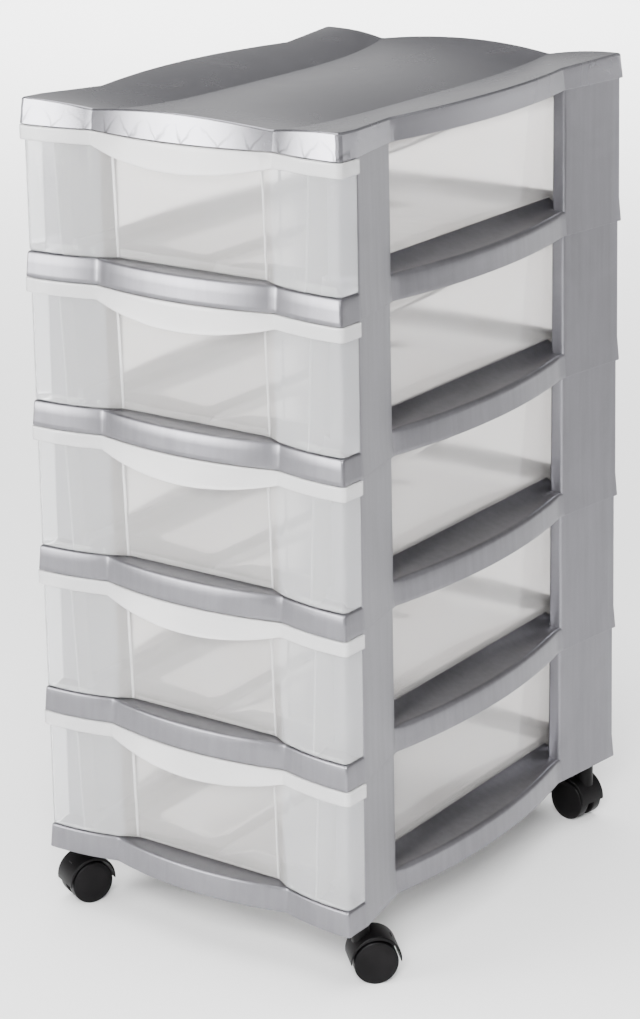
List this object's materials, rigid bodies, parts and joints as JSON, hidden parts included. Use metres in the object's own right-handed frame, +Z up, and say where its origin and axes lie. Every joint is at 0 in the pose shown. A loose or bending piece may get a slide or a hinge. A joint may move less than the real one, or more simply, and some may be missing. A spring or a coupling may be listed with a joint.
{
  "type": "rolling drawer cabinet",
  "caption": "Narrow rolling cabinet of stacked moulded tier frames with see-through pull-out drawers, scalloped fronts, open sides, a dished top cover and swivelling twin-wheel casters.",
  "frame": {"origin": "on the floor under the middle of the cabinet's box", "axes": "+X to the right seen from the drawers' side, +Y to the back, +Z up"},
  "size_m": [0.3194, 0.4103, 0.667],
  "materials": {
    "silver_plastic": "satin",
    "clear_plastic": "frosted see-through",
    "black_plastic": "satin",
    "steel": "plain"
  },
  "bodies": {
    "cabinet": {"top_cover": "silver_plastic", "tier_frame_1": "silver_plastic", "tier_frame_2": "silver_plastic", "tier_frame_3": "silver_plastic", "tier_frame_4": "silver_plastic", "tier_frame_5": "silver_plastic", "front_left_caster_socket": "black_plastic", "front_right_caster_socket": "black_plastic", "rear_left_caster_socket": "black_plastic", "rear_right_caster_socket": "black_plastic"},
    "drawer_1": {"drawer_1": "clear_plastic"},
    "drawer_2": {"drawer_2": "clear_plastic"},
    "drawer_3": {"drawer_3": "clear_plastic"},
    "drawer_4": {"drawer_4": "clear_plastic"},
    "drawer_5": {"drawer_5": "clear_plastic"},
    "front_left_swivel": {"front_left_caster_stem": "steel", "front_left_caster_hood": "black_plastic", "front_left_caster_axle": "steel"},
    "front_left_left_wheel": {"front_left_caster_left_wheel": "black_plastic"},
    "front_left_right_wheel": {"front_left_caster_right_wheel": "black_plastic"},
    "front_right_swivel": {"front_right_caster_stem": "steel", "front_right_caster_hood": "black_plastic", "front_right_caster_axle": "steel"},
    "front_right_left_wheel": {"front_right_caster_left_wheel": "black_plastic"},
    "front_right_right_wheel": {"front_right_caster_right_wheel": "black_plastic"},
    "rear_left_swivel": {"rear_left_caster_stem": "steel", "rear_left_caster_hood": "black_plastic", "rear_left_caster_axle": "steel"},
    "rear_left_left_wheel": {"rear_left_caster_left_wheel": "black_plastic"},
    "rear_left_right_wheel": {"rear_left_caster_right_wheel": "black_plastic"},
    "rear_right_swivel": {"rear_right_caster_stem": "steel", "rear_right_caster_hood": "black_plastic", "rear_right_caster_axle": "steel"},
    "rear_right_left_wheel": {"rear_right_caster_left_wheel": "black_plastic"},
    "rear_right_right_wheel": {"rear_right_caster_right_wheel": "black_plastic"}
  },
  "joints": [
    {"name": "drawer_1_slide", "type": "slide", "parent": "cabinet", "child": "drawer_1", "axis": [0, -1, 0], "range_m": [0, 0.3]},
    {"name": "drawer_2_slide", "type": "slide", "parent": "cabinet", "child": "drawer_2", "axis": [0, -1, 0], "range_m": [0, 0.3]},
    {"name": "drawer_3_slide", "type": "slide", "parent": "cabinet", "child": "drawer_3", "axis": [0, -1, 0], "range_m": [0, 0.3]},
    {"name": "drawer_4_slide", "type": "slide", "parent": "cabinet", "child": "drawer_4", "axis": [0, -1, 0], "range_m": [0, 0.3]},
    {"name": "drawer_5_slide", "type": "slide", "parent": "cabinet", "child": "drawer_5", "axis": [0, -1, 0], "range_m": [0, 0.3]},
    {"name": "front_left_swivel_turn", "type": "hinge", "parent": "cabinet", "child": "front_left_swivel", "pos_m": [-0.13025, -0.16265, 0.054], "axis": [0, 0, 1], "continuous": true},
    {"name": "front_left_left_wheel_roll", "type": "hinge", "parent": "front_left_swivel", "child": "front_left_left_wheel", "pos_m": [-0.13448, -0.17171, 0.0175], "axis": [0.9063, -0.4226, 0], "continuous": true},
    {"name": "front_left_right_wheel_roll", "type": "hinge", "parent": "front_left_swivel", "child": "front_left_right_wheel", "pos_m": [-0.13448, -0.17171, 0.0175], "axis": [0.9063, -0.4226, 0], "continuous": true},
    {"name": "front_right_swivel_turn", "type": "hinge", "parent": "cabinet", "child": "front_right_swivel", "pos_m": [0.13025, -0.16265, 0.054], "axis": [0, 0, 1], "continuous": true},
    {"name": "front_right_left_wheel_roll", "type": "hinge", "parent": "front_right_swivel", "child": "front_right_left_wheel", "pos_m": [0.13732, -0.15558, 0.0175], "axis": [-0.7071, 0.7071, 0], "continuous": true},
    {"name": "front_right_right_wheel_roll", "type": "hinge", "parent": "front_right_swivel", "child": "front_right_right_wheel", "pos_m": [0.13732, -0.15558, 0.0175], "axis": [-0.7071, 0.7071, 0], "continuous": true},
    {"name": "rear_left_swivel_turn", "type": "hinge", "parent": "cabinet", "child": "rear_left_swivel", "pos_m": [-0.13025, 0.18235, 0.054], "axis": [0, 0, 1], "continuous": true},
    {"name": "rear_left_left_wheel_roll", "type": "hinge", "parent": "rear_left_swivel", "child": "rear_left_left_wheel", "pos_m": [-0.13732, 0.17528, 0.0175], "axis": [0.7071, -0.7071, 0], "continuous": true},
    {"name": "rear_left_right_wheel_roll", "type": "hinge", "parent": "rear_left_swivel", "child": "rear_left_right_wheel", "pos_m": [-0.13732, 0.17528, 0.0175], "axis": [0.7071, -0.7071, 0], "continuous": true},
    {"name": "rear_right_swivel_turn", "type": "hinge", "parent": "cabinet", "child": "rear_right_swivel", "pos_m": [0.13025, 0.18235, 0.054], "axis": [0, 0, 1], "continuous": true},
    {"name": "rear_right_left_wheel_roll", "type": "hinge", "parent": "rear_right_swivel", "child": "rear_right_left_wheel", "pos_m": [0.12047, 0.18443, 0.0175], "axis": [-0.2079, -0.9781, 0], "continuous": true},
    {"name": "rear_right_right_wheel_roll", "type": "hinge", "parent": "rear_right_swivel", "child": "rear_right_right_wheel", "pos_m": [0.12047, 0.18443, 0.0175], "axis": [-0.2079, -0.9781, 0], "continuous": true}
  ]
}
